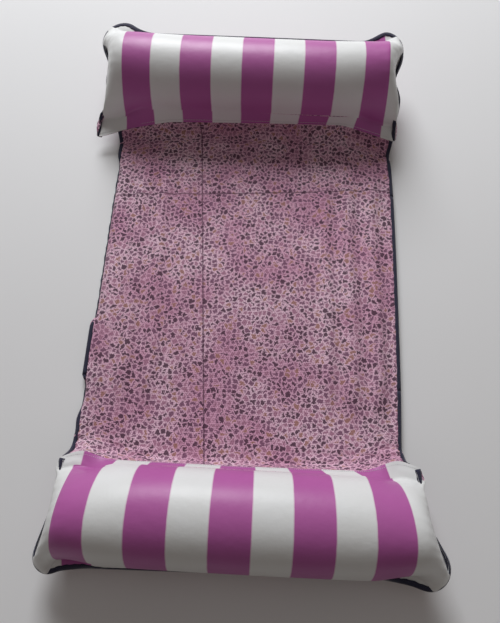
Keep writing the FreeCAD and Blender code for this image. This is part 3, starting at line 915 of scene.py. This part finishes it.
def stitch_row(name, edge, reach, ups, share, heights, material=NAVY_THREAD):
    """Stitches along a tape, share of the way from its fold to its edges, on each face."""
    line = relax(edge + reach * share, 3)
    lengths = lengths_along(line)
    places = np.arange(STITCH_PITCH, lengths[-1] - STITCH_PITCH, STITCH_PITCH)

    def sample(values):
        """The values at the stitches' places."""
        return np.stack([np.interp(places, lengths, values[:, k]) for k in range(3)], 1)

    middles, up = sample(line), unit(sample(ups))
    direction = unit(np.gradient(middles, axis=0))
    faces = [(middles, up * sign, height) for sign, height in heights]
    return stitches(
        name,
        np.concatenate([m for m, _, _ in faces]) + np.concatenate([u * h for _, u, h in faces]),
        np.concatenate([direction] * len(faces)),
        np.concatenate([u for _, u, _ in faces]),
        material,
    )


TOP_STACK = PVC + TAPE                      # tape's outer faces from the sheets' own level
LOW_STACK = PVC + NET_OUT + NET / 2 + TAPE
SIDE_STACK = NET / 2 + TAPE


def end_binding(end):
    """Tape round a pillow's two ends and outer side, and its stitching."""
    bag = bags[end]
    edge = resample(bag.rim(0), 0.0045)
    along = unit(np.gradient(relax(edge, 4), axis=0))
    inward = nearest_on(bag.rim(3), edge) - edge
    inward[:3], inward[-3:] = inward[3], inward[-4]
    inward = relax(inward - (inward * along).sum(1, keepdims=True) * along, 4)
    lap = edge + unit(inward) * END_TAPE_LAP
    tape, edge, reach, up = folded_tape(f"{end}_pillow_binding", edge, lap, TOP_STACK, LOW_STACK)
    heights = [(1, TOP_STACK), (-1, LOW_STACK)]
    thread = stitch_row(f"{end}_binding_stitches", edge, reach, up, STITCH_SHARE, heights)
    sew_on(tape, end, "end_binding")
    sew_on(thread, end, "end_stitching")


def flange_stitches(end):
    """Stitching of the panel-side flange to the net."""
    bag = bags[end]
    last = bag.flat.shape[0] - 3
    edge, lap = bag.top[2:last, 0], bag.top[2:last, 2]
    ups = bag.upper_normals[2:last, 1]
    name = f"{end}_flange_stitches"
    thread = stitch_row(name, edge, lap - edge, ups, 0.62, [(1, 0.0002)], WHITE_THREAD)
    sew_on(thread, end, "flange_stitching")


for end in PILLOWS:
    pillow_sheets(end)
    net_cradle(end)
    end_binding(end)
    flange_stitches(end)


# ---------------------------------------------------------------- net panel


def edge_curve(end, places):
    """Points of a pillow's panel-side net edge at places across."""
    line = bags[end].net[:, 0]
    line = line[line[:, 0].argsort()]
    return np.stack([places, *(np.interp(places, line[:, 0], line[:, k]) for k in (1, 2))], 1)


def lay_net():
    """The net between the pillows: a flat sheet, held by the flanges, laid on the floor."""
    slack = 1.03
    slope = math.radians(62)
    runs = {}
    for end in PILLOWS:
        edge = edge_curve(end, np.linspace(-0.2, 0.2, 9)).mean(0)
        runs[end] = (abs(edge[1]) - edge[2] / math.tan(slope), abs(edge[1]), edge[2])
    lengths = [slack * (run[0] + run[2] / math.sin(slope)) for run in runs.values()]
    u = line_up(-NET_HALF, (NET_HALF, NET_GRID))
    v = line_up(-lengths[1], (lengths[0], NET_GRID))
    index = np.arange(len(u) * len(v)).reshape(len(u), len(v))
    flat = np.stack(np.meshgrid(u, v, indexing="ij"), -1)
    points = np.zeros((len(u), len(v), 3))
    points[..., 0] = flat[..., 0]
    for end, column in (("foot", 0), ("head", -1)):
        turn = PILLOWS[end]["turn"]
        level, reach, height = runs[end]
        along = turn * flat[..., 1] / slack
        rise = np.clip((along - level) / (height / math.sin(slope)), 0, 1)
        mine = turn * flat[..., 1] >= 0
        points[mine, 1] = turn * (np.minimum(along, level) + rise * (reach - level))[mine]
        points[mine, 2] = (rise * height)[mine]
        line = bags[end].net[:, 0, 0]
        half = min(NET_HALF, 0.99 * line.max(), -0.99 * line.min())
        held = edge_curve(end, u * half / NET_HALF)
        fade = (smooth(along, 0.5 * level, reach) * mine)[..., None]
        shift = held - points[:, column]
        points += shift[:, None] * fade ** np.array([1.0, 3.0, 3.0])
        points[:, column] = held
    ripple = 1 + np.sin(flat[..., 0] * 2 * math.pi / 0.060)
    ripple *= smooth(abs(flat[..., 0]), 0.08, 0.24) * (points[..., 2] < 0.003)
    points[:, 1:-1, 2] = np.maximum(points[:, 1:-1, 2] + 0.0035 * ripple[:, 1:-1], 0.003)
    cloth = mesh_object("net", points.reshape(-1, 3), grid_faces(index))
    rest = np.zeros_like(points)
    rest[..., :2] = flat
    bpy.ops.mesh.primitive_plane_add(size=4)
    ground = bpy.context.object
    ground.modifiers.new("Collision", "COLLISION")
    ground.collision.thickness_outer = 0.001
    ground.collision.cloth_friction = 12
    bpy.context.scene.gravity = (0, 0, -9.81)
    weave = cloth_values(0.15, 3.0, (25, 25, 4, 0.25), (10, 10, 8, 0.5))
    held = np.concatenate([index[:, 0], index[:, -1]])
    points = simulate(cloth, NET_FRAMES, weave, {"vertex_group_mass": held}, rest.reshape(-1, 3))
    bpy.data.objects.remove(ground)
    points = points[index]
    points[..., 2] = np.maximum(points[..., 2], NET)
    soft = smooth(0.30 - abs(points[..., 1]), 0, 0.10) * smooth(abs(flat[..., 0]), 0.10, 0.20)
    soft = soft * smooth(0.31 - abs(flat[..., 0]), 0, 0.03)
    wave = flat[..., 0] + 0.006 * np.sin(flat[..., 1] * 9)
    points[..., 2] += 0.005 * soft * (1 + np.sin(wave * 2 * math.pi / 0.052))
    tuck(points)
    return points, flat


def tuck(points):
    """Rolls the left edge under, but for one stretch that lies open."""
    y = points[1, :, 1]
    rolled = smooth(0.31 - abs(y), 0, 0.06) * (1 - smooth(0.085 - abs(y + 0.165), 0, 0.03))
    rolled = rolled[:, None]
    across = unit(points[2] - points[1])
    fold = points[1] - across * 0.003
    fold[:, 2] = 0.0030
    under = fold + across * SIDE_TAPE_LAP
    under[:, 2] = 0.0014
    points[0] += rolled * (under - points[0])
    points[1] += rolled * (fold - points[1])
    for row, height in ((2, 0.0046), (3, 0.0036)):
        points[row, :, 2] += rolled[:, 0] * np.maximum(height - points[row, :, 2], 0)


net_points, net_flat = lay_net()


def panel_pieces():
    """The net in three stretches, each with tape and stitches along its two sides."""
    columns = net_points.shape[1] - 1
    middle_y = net_points[net_points.shape[0] // 2, :, 1]
    cut = 0.6 * seam.y
    foot_cut, head_cut = (int(abs(middle_y - place).argmin()) for place in (-cut, cut))
    stretches = (
        ("foot_rise", 0, foot_cut, ("foot_pillow", "foot_panel"), ("foot",)),
        ("centre", foot_cut, head_cut, ("foot_panel", "head_panel"), ("foot", "head")),
        ("head_rise", head_cut, columns, ("head_panel", "head_pillow"), ("head",)),
    )
    for name, first, last, bodies, ends in stretches:
        part = slice(first, last + 1)
        points, flat = net_points[:, part], net_flat[:, part]
        cloth = grid_piece(f"{name}_net", points, flat, NET_CLOTH)
        thicken(cloth, NET, 0)
        pieces = [(cloth, [f"{end}_net_panel" for end in ends], "net")]
        trims = []
        for side, column in (("left", 0), ("right", -1)):
            across = points[1] - points[0] if column == 0 else points[-2] - points[-1]
            length = np.linalg.norm(across, axis=1, keepdims=True)
            edge = points[column]
            lap = edge + unit(across) * np.minimum(length, SIDE_TAPE_LAP)
            tape_name, thread_name = f"{name}_binding_{side}", f"{name}_stitches_{side}"
            tape, edge, reach, up = folded_tape(tape_name, edge, lap, SIDE_STACK + 0.0002, SIDE_STACK)
            heights = [(1, SIDE_STACK + 0.0002)]
            thread = stitch_row(thread_name, edge, reach, up, STITCH_SHARE, heights)
            pieces.append((tape, [f"{end}_side_binding_{side}" for end in ends], "binding_tape"))
            pieces.append((thread, [f"{end}_side_stitching" for end in ends], "thread"))
            trims += [tape, thread]
        for obj, nodes, slot in pieces:
            bend(obj, ends)
            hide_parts(*nodes)


# Where the net starts to follow each pillow's fold, just off the floor, and where it
# follows it fully, at the lowest place of the flange.
FOLD_ZONES = {
    "head": ((0, 0.330, -0.012), (0, 0.354, 0.038)),
    "foot": ((0, -0.335, -0.010), (0, -0.364, 0.047)),
}


def bend(obj, ends):
    """Picks the fold zone a piece of the panel crosses, which is not used, and puts the piece's placing into
    its points.
    """
    if len(ends) == 2:
        zone = ((0, -0.07, 0), (0, 0.07, 0))
    else:
        zone = FOLD_ZONES[ends[0]]
    if ends[0] == "foot" and len(ends) == 1:
        zone = zone[::-1]
    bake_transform(obj)


panel_pieces()


# ---------------------------------------------------------------- valves and label


def dress_cad_nodes():
    """Better materials on the CAD nodes that stay in sight."""
    for end in PILLOWS:
        for part in ("valve_base", "valve_stem", "valve_plug", "valve_flap", "plug_strap"):
            obj = frame["nodes"][f"{end}_{part}"]
            obj.data.materials.clear()
            obj.data.materials.append(VALVE_PVC)


dress_cad_nodes()


def care_label():
    """A small blank label in the head pillow's binding, curling at its end."""
    low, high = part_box("care_label")
    bag = bags["head"]
    rim = resample(bag.rim(0), 0.002)
    side = rim[rim[:, 0] < low.x + 0.03]
    middle = (low.y + high.y) / 2
    root = side[abs(side[:, 1] - middle).argmin()]
    width, reach = high.y - low.y, 0.014
    rows, columns = 9, 7
    points = np.zeros((rows, columns, 3))
    for r, along in enumerate(np.linspace(0, 1, rows)):
        for c, across in enumerate(np.linspace(-0.5, 0.5, columns)):
            out = -0.002 + reach * along
            droop = -0.005 * along**2 + 0.0008 * math.sin(across * 5 + along * 2)
            points[r, c] = root + Vector((-out, across * width * (1 - 0.04 * along), droop))
    label = grid_piece("care_label_tab", points, np.zeros((rows, columns, 2)), SATIN)
    thicken(label, 0.0005, 0)
    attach(label, "head_pillow")
    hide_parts("care_label")


care_label()


# ---------------------------------------------------------------- studio


def studio():
    """Pale floor and soft light from beyond the head pillow."""
    bpy.ops.mesh.primitive_plane_add(size=30)
    floor = bpy.context.object
    floor.name = "floor"
    floor.location.z = -0.0005
    floor.data.materials.append(floor_paint())
    world = bpy.data.worlds.new("studio")
    world.use_nodes = True
    sky = world.node_tree.nodes["Background"]
    sky.inputs["Color"].default_value = (1.0, 0.87, 0.79, 1)
    sky.inputs["Strength"].default_value = 0.12
    bpy.context.scene.world = world
    for name, place, size, power in (
        ("window", (-0.6, 3.3, 2.2), 1.8, 160),
        ("fill", (0.3, 0.3, 3.0), 2.4, 6),
    ):
        light = bpy.data.lights.new(name, "AREA")
        light.size = size
        light.energy = power
        light.color = (0.95, 0.97, 1.0)
        lamp = bpy.data.objects.new(name, light)
        lamp.location = place
        lamp.rotation_euler = (-Vector(place)).to_track_quat("-Z", "Y").to_euler()
        bpy.context.scene.collection.objects.link(lamp)
    bpy.context.scene.view_settings.view_transform = "Standard"


def camera():
    """Held over the foot half, looking steeply down and towards the head."""
    pitch, yaw, roll = math.radians(72.62), math.radians(-2.82), math.radians(0.19)
    ahead = Vector((math.sin(yaw) * math.cos(pitch), math.cos(yaw) * math.cos(pitch), -math.sin(pitch)))
    right = ahead.cross(Vector((0, 0, 1))).normalized()
    up = right.cross(ahead)
    turned_right = right * math.cos(roll) + up * math.sin(roll)
    turned_up = up * math.cos(roll) - right * math.sin(roll)
    data = bpy.data.cameras.new("camera")
    data.sensor_width = 36
    data.lens = 28.4
    data.shift_y = 0.0142
    data.clip_start = 0.01
    obj = bpy.data.objects.new("camera", data)
    bpy.context.scene.collection.objects.link(obj)
    turn = Matrix((turned_right, turned_up, -ahead)).transposed().to_4x4()
    obj.matrix_world = Matrix.Translation((0.0263, -0.3947, 0.9988)) @ turn
    bpy.context.scene.camera = obj


studio()
camera()
